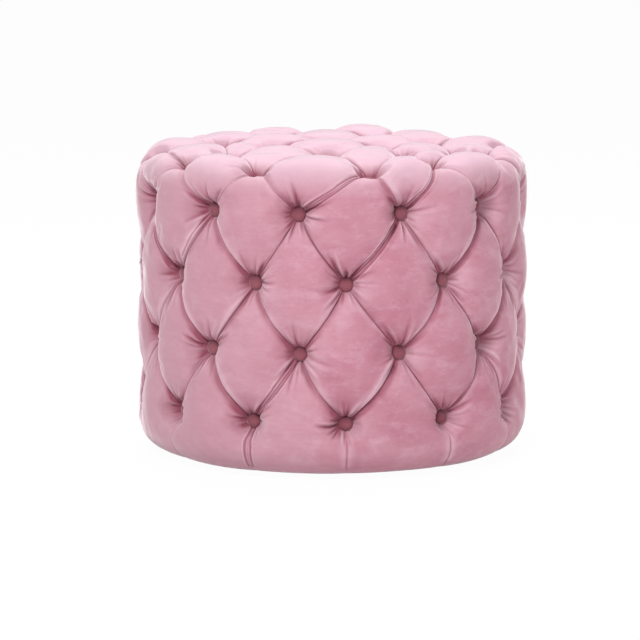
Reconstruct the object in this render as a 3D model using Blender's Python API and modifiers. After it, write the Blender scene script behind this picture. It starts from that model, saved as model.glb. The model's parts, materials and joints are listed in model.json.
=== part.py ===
"""Round ottoman in deep-buttoned velvet over foam, a hardboard drum and plywood boards.

The ottoman stands on +Z with the middle of its base at the origin and its front towards -Y.
Run blender --background --python part.py, or run it from the text editor.
"""
import math

import bmesh
import bpy
from mathutils import Matrix, Vector

# Outside of the upholstery, in metres
crown_radius = 0.280
body_height = 0.436
crown_rise = 0.006
shoulder_radius = 0.045
hem_radius = 0.037
turn_under = 0.030
cover_thickness = 0.0025
clearance = 0.0004

# Tufting
tuft_count = 12
row_count = 4
top_row_drop = 0.072
bottom_row_height = 0.0733
ring_lean = math.radians(20)
front_turn = math.radians(5.4)
tuft_depth = 0.027
pleat_depth = 0.010
hem_pleat_depth = 0.0035
tuft_hole_radius = 0.005
hem_line_share = 0.45
pleat_power = 1.6
pillow_power = 1.8
pillow_steps = 2
wide_corner_cosine = -0.2
funnel_slope = 0.6
foam_gap = 0.0009
step_power = 1.15
odd_row_share = -0.5
# Tufts set by hand stand these shares of a full step to the right of their even places
shift_shares = {
    "ring_0": 0.22, "row1_0": -0.027, "row1_1": 0.025, "row1_2": 0.05, "row1_11": 0.02,
    "row2_0": -0.045, "row2_1": 0.016, "row2_10": 0.01, "row2_11": 0.015,
    "row3_0": -0.013, "row3_1": 0.008, "row3_2": 0.064, "row3_11": -0.015,
    "row4_0": -0.047, "row4_1": 0.017, "row4_2": -0.048, "row4_10": 0.012, "row4_11": -0.013,
}
# Shoulder tufts that sit further in, in shares of the shoulder radius
ring_reach_shares = {"ring_1": 0.4, "ring_2": 0.4}
# Tufts inside the shoulder ring, in shares of the crown radius to the right and to the back
top_place_shares = {
    "top_front": (-0.02, -0.37), "top_right_front": (0.37, -0.40), "top_far_right": (0.62, -0.30),
    "top_right_back": (0.52, 0.16), "top_back_right": (0.25, 0.44), "top_back_left": (-0.29, 0.44),
    "top_left_back": (-0.56, 0.16), "top_left_front": (-0.52, -0.38), "top_left": (-0.29, -0.10),
    "top_middle": (-0.02, 0.17), "top_right": (0.25, -0.10),
}

# Covered buttons and their twine
button_radius = 0.01135
button_rim_height = 0.0086
button_face_height = 0.0109
button_face_radius = 0.0078
button_sides = 8
button_smoothing = math.radians(50)
twine_radius = 0.0012

# Frame
side_padding = 0.041
top_padding = 0.0512
base_padding = 0.0133
wall_thickness = 0.003
board_thickness = 0.015
wall_slot = 0.0006
wall_segments = 36
wall_hole_sides = 6
hoop_width = 0.036
hoop_thickness = 0.012
hoop_rows_down = 1.5
post_count = 6
post_size = 0.028
screw_radius = 0.0022
screw_head_radius = 0.0045
screw_head_height = 0.0028
screw_length = 0.045
screw_sides = 6

# Underside
dust_cover_thickness = 0.001
dust_cover_lap = 0.013
glide_count = 6
glide_height = 0.0044
glide_radius = 0.0125
glide_inset = 0.034
glide_nail_radius = 0.0015
glide_nail_grip = 0.010
glide_sides = 12
overrun = 0.002
merge_distance = 0.00001

hem_level = glide_height + dust_cover_thickness + 2 * clearance
hem_arc = hem_radius * math.pi / 2
side_run = body_height - hem_radius - shoulder_radius
shoulder_arc = shoulder_radius * math.pi / 2
flat_run = crown_radius - shoulder_radius
outline_run = hem_arc + side_run + shoulder_arc + flat_run
tuft_step = 2 * math.pi / tuft_count
top_row_height = body_height - top_row_drop
row_spacing = (top_row_height - bottom_row_height) / (row_count - 1)
drum_radius = crown_radius - side_padding
base_board_height = hem_level + base_padding
seat_board_height = hem_level + body_height - top_padding - board_thickness
dust_cover_radius = crown_radius - hem_radius - turn_under + dust_cover_lap
glide_circle_radius = dust_cover_radius - glide_inset
drum_column_angle = tuft_step / 4 * (1 + max(shift_shares.values()))
seat_top = seat_board_height + board_thickness
base_top = base_board_height + board_thickness
foam_drum_radius = (drum_radius + clearance) / math.cos(drum_column_angle)
wall_inner_radius = drum_radius - wall_thickness
lacing_radius = wall_inner_radius * math.cos(math.pi / wall_segments) - clearance - twine_radius
lacing_level = seat_board_height - clearance - twine_radius
hoop_inner_radius = wall_inner_radius - clearance - hoop_width
post_corner_radius = hoop_inner_radius * math.cos(math.pi / wall_segments) - clearance
post_circle_radius = math.sqrt(post_corner_radius**2 - (post_size / 2) ** 2) - post_size / 2


def clear_scene():
    for item in list(bpy.data.objects):
        bpy.data.objects.remove(item, do_unlink=True)


def collection(name):
    group = bpy.data.collections.new(name)
    bpy.context.scene.collection.children.link(group)
    return group


def material(name, colour, roughness, metallic=0.0):
    finish = bpy.data.materials.new(name)
    finish.use_nodes = True
    finish.diffuse_color = (*colour, 1.0)
    shader = finish.node_tree.nodes["Principled BSDF"]
    shader.inputs["Base Color"].default_value = (*colour, 1.0)
    shader.inputs["Roughness"].default_value = roughness
    shader.inputs["Metallic"].default_value = metallic
    return finish


clear_scene()
PARTS = collection("tufted_ottoman")
GUIDES = collection("cutters")
VELVET = material("pink_velvet", (0.72, 0.36, 0.46), 0.85)
BUTTON_VELVET = material("button_velvet", (0.52, 0.22, 0.31), 0.8)
FOAM = material("foam", (0.86, 0.82, 0.66), 0.9)
PLYWOOD = material("plywood", (0.70, 0.54, 0.36), 0.6)
SOFTWOOD = material("softwood", (0.78, 0.62, 0.42), 0.65)
HARDBOARD = material("hardboard", (0.36, 0.24, 0.15), 0.7)
STEEL = material("zinc_steel", (0.62, 0.62, 0.60), 0.35, 1.0)
LINING = material("black_lining", (0.03, 0.03, 0.03), 0.95)
NYLON = material("black_nylon", (0.05, 0.05, 0.05), 0.5)


def add_mesh(name, mesh, finish, group=None):
    item = bpy.data.objects.new(name, mesh)
    (group or PARTS).objects.link(item)
    mesh.materials.clear()
    mesh.materials.append(finish)
    return item


def add_shape(name, shape, finish, smooth_under=None, group=None):
    """Turn a bmesh into a named object; faces meeting under the angle are shaded smooth."""
    bmesh.ops.recalc_face_normals(shape, faces=shape.faces)
    mesh = bpy.data.meshes.new(name)
    shape.to_mesh(mesh)
    shape.free()
    if smooth_under:
        mesh.shade_smooth()
        mesh.set_sharp_from_angle(angle=smooth_under)
    return add_mesh(name, mesh, finish, group)


def as_cutter(item):
    item.hide_render = True
    item.display_type = "WIRE"
    return item


def boolean(item, operation, tool):
    step = item.modifiers.new(tool.name, "BOOLEAN")
    step.operation = operation
    step.solver = "EXACT"
    step.object = tool
    return step


def on_circle(radius, turn, height):
    """A point at a turn measured from the front (-Y) towards +X."""
    return Vector((radius * math.sin(turn), -radius * math.cos(turn), height))


def outline(run):
    """Radius, height and outward direction (radial, vertical) of the crowns.

    The run is measured up the side from the lowest line of the hem, and is negative under it.
    """
    if run <= 0:
        return crown_radius - hem_radius + run, hem_level, (0.0, -1.0)
    if run < hem_arc:
        bend = run / hem_radius
        radius = crown_radius - hem_radius + hem_radius * math.sin(bend)
        height = hem_level + hem_radius - hem_radius * math.cos(bend)
        return radius, height, (math.sin(bend), -math.cos(bend))
    run -= hem_arc
    if run < side_run:
        return crown_radius, hem_level + hem_radius + run, (1.0, 0.0)
    run -= side_run
    top = hem_level + body_height
    if run < shoulder_arc:
        bend = run / shoulder_radius
        radius = crown_radius - shoulder_radius + shoulder_radius * math.cos(bend)
        height = top - shoulder_radius + shoulder_radius * math.sin(bend)
        return radius, height, (math.cos(bend), math.sin(bend))
    radius = flat_run - (run - shoulder_arc)
    return radius, top + crown_rise * (1 - (radius / flat_run) ** 2), (0.0, 1.0)


# Tufts: each spot has a turn round the drum and a run up its outline

ring_run = outline_run - flat_run - shoulder_radius * ring_lean
hem_line_run = hem_line_share * hem_arc


def row_turn(row, place):
    """Odd rows stand half a step from even ones."""
    half = odd_row_share if row % 2 else 0.0
    shift = shift_shares.get(f"row{row}_{place}", 0.0)
    return front_turn + (place + half + shift) * tuft_step


def row_run(row):
    return hem_arc + top_row_height - hem_radius - (row - 1) * row_spacing


def tuft_spots():
    spots = {}
    for place in range(tuft_count):
        ring = f"ring_{place}"
        reach = ring_reach_shares.get(ring, 0.0) * shoulder_radius
        turn = front_turn + (place + shift_shares.get(ring, 0.0)) * tuft_step
        spots[ring] = (turn, ring_run + reach)
        spots[f"hem_{place}"] = (row_turn(row_count, place), hem_line_run)
        for row in range(1, row_count + 1):
            spots[f"row{row}_{place}"] = (row_turn(row, place), row_run(row))
    for name, (right, back) in top_place_shares.items():
        reach = crown_radius * math.hypot(right, back)
        spots[name] = (math.atan2(right, -back), outline_run - reach)
    return spots


SPOTS = tuft_spots()


def side_cells(places):
    """Pillows of the side, row by row, their corners counter-clockwise from below."""
    cells = []
    for row in range(1, row_count + 1):
        for place in places:
            after = (place + 1) % tuft_count
            near = place if row % 2 else after
            above = f"ring_{near}" if row == 1 else f"row{row - 1}_{near}"
            left, right = f"row{row}_{place}", f"row{row}_{after}"
            if row < row_count:
                cells.append((f"row{row + 1}_{near}", right, above, left))
            else:
                cells.append((f"hem_{place}", f"hem_{after}", right, above, left))
    return cells


def top_cells():
    """Pillows of the shoulder and of the top, their corners counter-clockwise from outside."""
    behind = {
        0: "top_front", 1: "top_right_front", 2: "top_far_right", 4: "top_right_back",
        6: "top_back_right", 7: "top_back_left", 9: "top_left_back", 11: "top_left_front",
    }
    cells = []
    for place in range(tuft_count):
        inner = [behind[place]] if place in behind else []
        cells.append((f"row1_{place}", f"ring_{place}", *inner, f"ring_{(place - 1) % tuft_count}"))
    return cells + [
        ("ring_0", "top_right_front", "top_right", "top_front"),
        ("ring_11", "top_front", "top_left", "top_left_front"),
        ("top_front", "top_right", "top_middle", "top_left"),
        ("ring_1", "top_far_right", "top_right_front"),
        ("top_right_front", "top_far_right", "top_right_back", "top_right"),
        ("ring_2", "ring_3", "top_right_back", "top_far_right"),
        ("ring_4", "ring_5", "top_back_right", "top_right_back"),
        ("ring_7", "ring_8", "top_left_back", "top_back_left"),
        ("ring_9", "ring_10", "top_left_front", "top_left_back"),
        ("top_left_front", "top_left", "top_left_back"),
        ("top_right", "top_right_back", "top_back_right", "top_middle"),
        ("top_left", "top_middle", "top_back_left", "top_left_back"),
        ("top_middle", "top_back_right", "ring_6", "top_back_left"),
    ]


def on_map(turn, run):
    """Flat map of the upholstery: the middle of the top at zero, runs drawn out straight."""
    reach = outline_run - run
    return Vector((reach * math.sin(turn), -reach * math.cos(turn)))


def from_map(point):
    return math.atan2(point.x, -point.y), outline_run - point.length


def nearest_turn(turn, other):
    """The turn, taken the short way round from another one."""
    return other + (turn - other + math.pi) % (2 * math.pi) - math.pi


def unrolled(turn, run, middle):
    """Flat drawing of the side, unrolled about a middle turn."""
    return Vector(((nearest_turn(turn, middle) - middle) * crown_radius, run))


def is_on_top(spot):
    return not spot.startswith(("row", "hem"))


def along_pleat(start, end, share):
    """Turn and run of a point on the straight pleat between two tufts."""
    if is_on_top(start) and is_on_top(end):
        return from_map(on_map(*SPOTS[start]).lerp(on_map(*SPOTS[end]), share))
    (turn, run), (end_turn, end_run) = SPOTS[start], SPOTS[end]
    return turn + (nearest_turn(end_turn, turn) - turn) * share, run + (end_run - run) * share


def pleat_length(start, end):
    if is_on_top(start) and is_on_top(end):
        return (on_map(*SPOTS[start]) - on_map(*SPOTS[end])).length
    return (unrolled(*SPOTS[end], SPOTS[start][0]) - unrolled(*SPOTS[start], SPOTS[start][0])).length


def is_hem(spot):
    return spot.startswith("hem")


def spot_depth(spot):
    return hem_pleat_depth if is_hem(spot) else tuft_depth


def pleat_profile(start, end, share):
    """Depth from a tuft (share 0) to the middle of its pleat (share 1)."""
    if is_hem(start) and is_hem(end):
        middle = 0.0
    elif is_hem(start) or is_hem(end):
        middle = (pleat_depth + hem_pleat_depth) / 2
    else:
        middle = pleat_depth
    depth = middle + (spot_depth(start) - middle) * (1 - share) ** pleat_power
    if is_hem(start):
        return depth
    away = pleat_length(start, end) * share / 2
    return max(depth, tuft_depth - funnel_slope * (away - tuft_hole_radius))


class Net:
    """Points and faces of a tufted sheet, shared by every layer that follows it.

    A point is its turn, its run, its depth below the crowns and, round a tuft's hole, that tuft.
    """

    def __init__(self, side, top, steps, turned_under=None):
        self.points = {}
        self.faces = []
        self.steps = steps
        self.shares = [(step / steps) ** step_power for step in range(steps + 1)]
        cells = side + top
        sides = {(cell[place - 1], cell[place]) for cell in cells for place in range(len(cell))}
        self.seams = {pleat for pleat in sides if pleat[::-1] not in sides}
        for cell in cells:
            self.add_cell(cell, cell in top)
        if turned_under:
            self.add_hem(side, turned_under)

    def add_cell(self, cell, on_top):
        if on_top:
            self.to_chart, self.to_place = on_map, from_map
        else:
            first = SPOTS[cell[0]][0]
            turns = [nearest_turn(SPOTS[spot][0], first) for spot in cell]
            middle = sum(turns) / len(turns)
            self.to_chart = lambda turn, run: unrolled(turn, run, middle)
            self.to_place = lambda point: (middle + point.x / crown_radius, point.y)
        corners = [self.to_chart(*SPOTS[spot]) for spot in cell]
        self.heart = sum(corners, Vector((0, 0))) / len(cell)
        self.points["heart", cell] = (*self.to_place(self.heart), 0.0, None)
        for place, corner in enumerate(cell):
            self.add_patch(cell, corner, cell[(place + 1) % len(cell)], cell[place - 1])

    def add_point(self, key, where, depth, tuft=None, seam=None):
        """Keep a point once; a point on a seam stands back from it by the clearance."""
        if key not in self.points:
            if seam:
                start, end = (self.to_chart(*SPOTS[spot]) for spot in seam)
                inward = (end - start).orthogonal().normalized()
                if inward.dot(self.heart - start) < 0:
                    inward = -inward
                where = self.to_place(self.to_chart(*where) + inward * clearance)
            self.points[key] = (*where, depth, tuft)
        return key

    def seam(self, start, end):
        """The pleat itself where it is a seam of this sheet, and nothing where it isn't."""
        if is_hem(start) and is_hem(end):
            return None
        return (start, end) if (start, end) in self.seams or (end, start) in self.seams else None

    def pleat_point(self, start, end, step):
        share = self.shares[step]
        key = ("pleat", start, end, step) if step < self.steps else ("half", *sorted((start, end)))
        where = along_pleat(start, end, share / 2)
        return self.add_point(key, where, pleat_profile(start, end, share), None, self.seam(start, end))

    def hole_point(self, start, end):
        where = along_pleat(start, end, tuft_hole_radius / pleat_length(start, end))
        return self.add_point(("hole", start, end), where, tuft_depth, start, self.seam(start, end))

    def hem_corner(self, corner, ahead, behind):
        seam = self.seam(corner, ahead) or self.seam(corner, behind)
        return self.add_point(("corner", corner), SPOTS[corner], hem_pleat_depth, None, seam)

    def hole_rim(self, cell, corner, ahead, behind):
        """Rim of a tuft's hole within one pillow, with one more point where the corner is wide."""
        rim = [self.hole_point(corner, ahead), self.hole_point(corner, behind)]
        middle = self.to_chart(*SPOTS[corner])
        sides = [(self.to_chart(*SPOTS[spot]) - middle).normalized() for spot in (ahead, behind)]
        if sides[0].dot(sides[1]) < wide_corner_cosine:
            where = self.to_place(middle + (self.heart - middle).normalized() * tuft_hole_radius)
            rim.insert(1, self.add_point(("rim", cell, corner), where, tuft_depth, corner))
        return rim

    def add_patch(self, cell, corner, ahead, behind):
        """One tuft's share of a pillow, out to half of each pleat and to the pillow's heart."""
        steps = self.steps
        grid = {(steps, steps): ("heart", cell)}
        for step in range(1, steps + 1):
            grid[step, 0] = self.pleat_point(corner, ahead, step)
            grid[0, step] = self.pleat_point(corner, behind, step)
        start = self.to_chart(*SPOTS[corner])
        half_ahead = self.to_chart(*self.points[grid[steps, 0]][:2])
        half_behind = self.to_chart(*self.points[grid[0, steps]][:2])
        for i in range(1, steps + 1):
            for j in range(1, steps + 1):
                if i == j == steps:
                    continue
                grid[i, j] = ("pillow", cell, corner, i, j)
                if i == steps:
                    grid[i, j] = ("spoke", cell, grid[steps, 0], j)
                if j == steps:
                    grid[i, j] = ("spoke", cell, grid[0, steps], i)
                u, v = self.shares[i], self.shares[j]
                flat = start.lerp(half_ahead, u).lerp(half_behind.lerp(self.heart, u), v)
                fall_u, fall_v = (1 - u) ** pillow_power, (1 - v) ** pillow_power
                depth = pleat_profile(corner, ahead, u) * fall_v + pleat_profile(corner, behind, v) * fall_u
                depth -= spot_depth(corner) * fall_u * fall_v
                funnel = tuft_depth - funnel_slope * ((flat - start).length - tuft_hole_radius)
                if not is_hem(corner):
                    depth = max(depth, funnel)
                self.add_point(grid[i, j], self.to_place(flat), depth)
        for i in range(steps):
            for j in range(steps):
                right, beyond, left = grid[i + 1, j], grid[i + 1, j + 1], grid[i, j + 1]
                rim = []
                if i or j:
                    near = grid[i, j]
                elif is_hem(corner):
                    near = self.hem_corner(corner, ahead, behind)
                else:
                    rim = self.hole_rim(cell, corner, ahead, behind)
                    near = rim[1]
                    self.faces.append([rim[0], right, near])
                if len(rim) > 2:
                    self.faces += [[left, rim[2], near], [near, right, beyond], [near, beyond, left]]
                else:
                    self.faces += [[near, right, left], [right, beyond, left]]

    def add_hem(self, cells, turned_under):
        """Carry the sheet from its lowest line round the hem and under the base."""
        for cell in cells:
            left, right = cell[0], cell[1]
            if not is_hem(left):
                continue
            chain = [("corner", left)]
            chain += [("pleat", left, right, step) for step in range(1, self.steps)]
            chain += [("half", *sorted((left, right)))]
            chain += [("pleat", right, left, step) for step in range(self.steps - 1, 0, -1)]
            chain += [("corner", right)]
            for level, run in enumerate((0.0, -turned_under)):
                lower = [("hem", level, *key[-3:]) for key in chain]
                for key, old in zip(lower, chain):
                    turn, _, depth, _ = self.points[old]
                    self.points.setdefault(key, (turn, run, depth * (1 - level) / 2, None))
                for place in range(len(chain) - 1):
                    self.faces.append([chain[place + 1], chain[place], lower[place]])
                    self.faces.append([chain[place + 1], lower[place], lower[place + 1]])
                chain = lower


def at_depth(point, extra):
    """A point of the net at its depth and the extra depth; a hole's rim lies along its tuft's pull."""
    turn, run, depth, tuft = point
    radius, height, (out, up) = outline(run)
    if tuft:
        out, up = outline(SPOTS[tuft][1])[2]
    depth += extra
    return on_circle(radius - depth * out, turn, height - depth * up)


def on_frame(point):
    """The point of the foam's inner face that lies behind a point of the net."""
    turn, run, depth, tuft = point
    radius, height, (out, up) = outline(run)
    if tuft and is_on_top(tuft):
        out, up = outline(SPOTS[tuft][1])[2]
        lean = out / up
        return on_circle(radius - (height - seat_top - clearance) * lean, turn, seat_top + clearance)
    if not tuft and run > row_run(1) + clearance:
        return on_circle(min(radius, foam_drum_radius), turn, seat_top + clearance)
    return on_circle(foam_drum_radius, turn, height)


def open_loops(faces):
    """Closed chains of the edges that only one face uses, in that face's direction."""
    used = {(face[place - 1], face[place]) for face in faces for place in range(len(face))}
    after = {start: end for start, end in used if (end, start) not in used}
    loops = []
    while after:
        start = next(iter(sorted(after, key=str)))
        loop = [start]
        while after[loop[-1]] != start:
            loop.append(after.pop(loop[-1]))
        after.pop(loop[-1])
        loops.append(loop)
    return loops


def add_rim(shape, chain, front, back):
    """Faces between a stretch of the outer edge and the inner edge behind its two ends.

    They fan out from the same end whichever way the stretch runs, so sheets that share a seam
    have the same face there.
    """
    first, last = back[chain[0]], back[chain[-1]]
    ring = [front[key] for key in reversed(chain)] + [first, last]
    start = len(ring) - (1 if str(chain[0]) > str(chain[-1]) else 2)
    ring = ring[start:] + ring[:start]
    for place in range(1, len(ring) - 1):
        shape.faces.new([ring[0], ring[place], ring[place + 1]])


def add_layered(name, outer, place_outer, inner, place_inner, finish):
    """A closed solid between two layers; the inner net may have fewer points on each pleat."""
    shape = bmesh.new()
    front = {key: shape.verts.new(place_outer(point)) for key, point in outer.points.items()}
    back = {key: shape.verts.new(place_inner(point)) for key, point in inner.points.items()}
    for face in outer.faces:
        shape.faces.new([front[key] for key in face])
    for face in inner.faces:
        shape.faces.new([back[key] for key in reversed(face)])
    for loop in open_loops(outer.faces):
        while loop[0] not in back:
            loop.append(loop.pop(0))
        chain = []
        for key in [*loop, loop[0]]:
            chain.append(key)
            if len(chain) > 1 and key in back:
                add_rim(shape, chain, front, back)
                chain = [key]
    mesh = bpy.data.meshes.new(name)
    shape.to_mesh(mesh)
    shape.free()
    mesh.shade_smooth()
    return add_mesh(name, mesh, finish)


def cover_inside(point):
    return at_depth(point, cover_thickness)


def foam_outside(point):
    return at_depth(point, cover_thickness + foam_gap)


def crown_surface(point):
    return at_depth(point, 0.0)


def add_cover(name, side, top, turned_under=None):
    outer = Net(side, top, pillow_steps, turned_under)
    inner = Net(side, top, 1, turned_under)
    return add_layered(name, outer, crown_surface, inner, cover_inside, VELVET)


def add_foam(name, side, top):
    net = Net(side, top, 1)
    return add_layered(name, net, foam_outside, net, on_frame, FOAM)


def add_upholstery():
    half = tuft_count // 2
    front, back = range(-half // 2, half // 2), range(half // 2, tuft_count - half // 2)
    front = [place % tuft_count for place in front]
    add_cover("side_cover_front", side_cells(front), [], turn_under)
    add_cover("side_cover_back", side_cells(back), [], turn_under)
    add_cover("top_cover", [], top_cells())
    add_foam("side_foam", side_cells(range(tuft_count)), [])
    add_foam("top_foam", [], top_cells())


# Buttons, each drawn in by its own twine to a lacing cord inside the drum


def tuft_seat(spot):
    """The bottom of a tuft and the direction that its button looks out in."""
    turn, run = SPOTS[spot]
    radius, height, (out, up) = outline(run)
    seat = on_circle(radius - tuft_depth * out, turn, height - tuft_depth * up)
    return seat, on_circle(out, turn, up)


def twine_length(spot):
    """From the tuft's bottom to the lacing cord inside the drum or under the seat board."""
    seat, aim = tuft_seat(spot)
    if is_on_top(spot):
        return (seat.z - lacing_level) / aim.z
    return Vector((seat.x, seat.y)).length - lacing_radius


def button_mesh(length):
    """A turned button on its twine, its tuft's bottom at zero and its face up."""
    profile = [
        (0.0, button_face_height),
        (button_face_radius, button_face_height),
        (button_radius, button_rim_height),
        (twine_radius, clearance),
        (twine_radius, -length),
        (0.0, -length),
    ]
    line = bpy.data.meshes.new("button_profile")
    edges = [(place, place + 1) for place in range(len(profile) - 1)]
    line.from_pydata([(radius, 0.0, height) for radius, height in profile], edges, [])
    guide = bpy.data.objects.new("button_profile", line)
    GUIDES.objects.link(guide)
    turned = guide.modifiers.new("turn", "SCREW")
    turned.steps = turned.render_steps = button_sides
    turned.use_merge_vertices = True
    turned.merge_threshold = merge_distance
    return evaluated_mesh(guide)


def add_buttons(name, spots, lacing):
    """Buttons of one group, joined by their lacing cord."""
    shape = bmesh.new()
    for spot in spots:
        seat, aim = tuft_seat(spot)
        mesh = button_mesh(twine_length(spot))
        first = len(shape.verts)
        shape.from_mesh(mesh)
        shape.verts.ensure_lookup_table()
        place = Matrix.Translation(seat) @ aim.to_track_quat("Z", "Y").to_matrix().to_4x4()
        bmesh.ops.transform(shape, matrix=place, verts=shape.verts[first:])
        bpy.data.meshes.remove(mesh)
    item = add_shape(name, shape, BUTTON_VELVET, button_smoothing)
    boolean(item, "UNION", lacing)


def add_lacing(name, spots):
    """Cord drawn taut from the foot of one twine to the next."""
    curve = bpy.data.curves.new(name, "CURVE")
    curve.dimensions = "3D"
    curve.bevel_depth = twine_radius
    curve.bevel_resolution = 0
    line = curve.splines.new("POLY")
    line.use_cyclic_u = True
    line.points.add(len(spots) - 1)
    for point, spot in zip(line.points, spots):
        point.co = (*twine_foot(spot), 1.0)
    guide = bpy.data.objects.new(name, curve)
    GUIDES.objects.link(guide)
    mesh = evaluated_mesh(guide)
    shape = bmesh.new()
    shape.from_mesh(mesh)
    bmesh.ops.remove_doubles(shape, verts=shape.verts, dist=merge_distance)
    bpy.data.meshes.remove(mesh)
    return as_cutter(add_shape(name, shape, BUTTON_VELVET, group=GUIDES))


def evaluated_mesh(guide):
    """The mesh that a guide's curve or modifiers make; the guide is taken away."""
    depsgraph = bpy.context.evaluated_depsgraph_get()
    mesh = bpy.data.meshes.new_from_object(guide.evaluated_get(depsgraph))
    bpy.data.objects.remove(guide, do_unlink=True)
    return mesh


def as_guide(name):
    """Put the last primitive among the cutters under its name, its turn and scale applied."""
    item = bpy.context.active_object
    item.name = name
    for group in list(item.users_collection):
        group.objects.unlink(item)
    GUIDES.objects.link(item)
    item.data.transform(item.matrix_world)
    item.matrix_world = Matrix.Identity(4)
    return as_cutter(item)


def add_all_buttons():
    for row in range(1, row_count + 1):
        spots = [f"row{row}_{place}" for place in range(tuft_count)]
        add_buttons(f"button_row_{row}", spots, add_lacing(f"lacing_{row}", spots))
    spots = [f"ring_{place}" for place in range(tuft_count)]
    add_buttons("top_buttons_outer", spots, add_lacing("lacing_outer", spots))
    spots = list(top_place_shares)
    add_buttons("top_buttons_inner", spots, add_lacing("lacing_inner", spots))


def twine_foot(spot):
    seat, aim = tuft_seat(spot)
    return seat - aim * twine_length(spot)


# Frame


def add_disc(name, radius, low, high, finish, sides, turn=0.0):
    bpy.ops.mesh.primitive_cylinder_add(
        vertices=sides, radius=radius, depth=high - low, location=(0, 0, (low + high) / 2),
        rotation=(0, 0, turn),
    )
    return placed(name, finish)


def placed(name, finish):
    """Put the last primitive among the parts under its name, its scale applied."""
    item = bpy.context.active_object
    item.name = name
    item.data.name = name
    for group in list(item.users_collection):
        group.objects.unlink(item)
    PARTS.objects.link(item)
    item.data.transform(item.matrix_world)
    item.matrix_world = Matrix.Identity(4)
    item.data.materials.append(finish)
    return item


def drill(name, bores):
    """One cutter made of separate drills: start, end, radius at each, number of sides."""
    shape = bmesh.new()
    for start, end, start_radius, end_radius, sides in bores:
        along = end - start
        turn = along.to_track_quat("Z", "Y").to_matrix().to_4x4()
        bmesh.ops.create_cone(
            shape, cap_ends=True, segments=sides, radius1=start_radius, radius2=end_radius,
            depth=along.length, matrix=Matrix.Translation((start + end) / 2) @ turn,
        )
    return as_cutter(add_shape(name, shape, STEEL, group=GUIDES))


def bore(start, end, radius, sides):
    """A straight drill that runs past both ends."""
    past = (end - start).normalized() * overrun
    return start - past, end + past, radius, radius, sides


def clear_of(radius, sides):
    """Radius of a faceted hole that clears a faceted pin of a radius, however each is turned."""
    return radius / math.cos(math.pi / sides) + clearance


def post_turn(place):
    return front_turn + (place * 2 + 1) * math.pi / post_count


def add_frame():
    base = add_disc("base_board", drum_radius, base_board_height, base_top, PLYWOOD, wall_segments)
    seat = add_disc("seat_board", drum_radius, seat_board_height, seat_top, PLYWOOD, wall_segments)
    top_spots = [f"ring_{place}" for place in range(tuft_count)] + list(top_place_shares)
    bores = []
    for spot in top_spots:
        seat_point, aim = tuft_seat(spot)
        foot = twine_foot(spot)
        start = foot + aim * ((seat_board_height - foot.z) / aim.z)
        end = foot + aim * ((seat_top - foot.z) / aim.z)
        bores.append(bore(start, end, clear_of(twine_radius, screw_sides), screw_sides))
    boolean(seat, "DIFFERENCE", drill("seat_holes", bores))
    boolean(seat, "DIFFERENCE", drill("seat_countersinks", countersinks("seat")))
    boolean(seat, "DIFFERENCE", drill("seat_screw_holes", screw_bores("seat")))
    bores = []
    for place in range(glide_count):
        start = glide_place(place) + Vector((0, 0, base_board_height + overrun))
        end = start + Vector((0, 0, glide_nail_grip + clearance - 2 * overrun))
        bores.append(bore(start, end, clear_of(glide_nail_radius, screw_sides), screw_sides))
    boolean(base, "DIFFERENCE", drill("base_nail_holes", bores))
    boolean(base, "DIFFERENCE", drill("base_countersinks", countersinks("base")))
    boolean(base, "DIFFERENCE", drill("base_screw_holes", screw_bores("base")))
    for place in range(post_count):
        add_post(place)
    add_hoop()
    add_wall()
    for place in range(post_count):
        add_screw(f"seat_screw_{place + 1}", screw_seat("seat", place), Vector((0, 0, 1)))
        add_screw(f"base_screw_{place + 1}", screw_seat("base", place), Vector((0, 0, -1)))


def add_post(place):
    low, high = base_top + clearance, seat_board_height - clearance
    middle = on_circle(post_circle_radius, post_turn(place), (low + high) / 2)
    bpy.ops.mesh.primitive_cube_add(size=1, location=middle, rotation=(0, 0, post_turn(place)))
    bpy.context.active_object.scale = (post_size, post_size, high - low)
    bpy.context.view_layer.update()
    post = placed(f"post_{place + 1}", SOFTWOOD)
    pilots = [screw_pilot("seat", place), screw_pilot("base", place)]
    boolean(post, "DIFFERENCE", drill(f"post_pilots_{place + 1}", pilots))


def add_hoop():
    """Ring of plywood between the second and third rows of twine, outside the posts."""
    level = hem_level + top_row_height - hoop_rows_down * row_spacing
    low, high = level - hoop_thickness / 2, level + hoop_thickness / 2
    radius = wall_inner_radius - clearance
    hoop = add_disc("middle_hoop", radius, low, high, PLYWOOD, wall_segments)
    hollow = bore(Vector((0, 0, low)), Vector((0, 0, high)), hoop_inner_radius, wall_segments)
    boolean(hoop, "DIFFERENCE", drill("hoop_bore", [hollow]))


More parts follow.
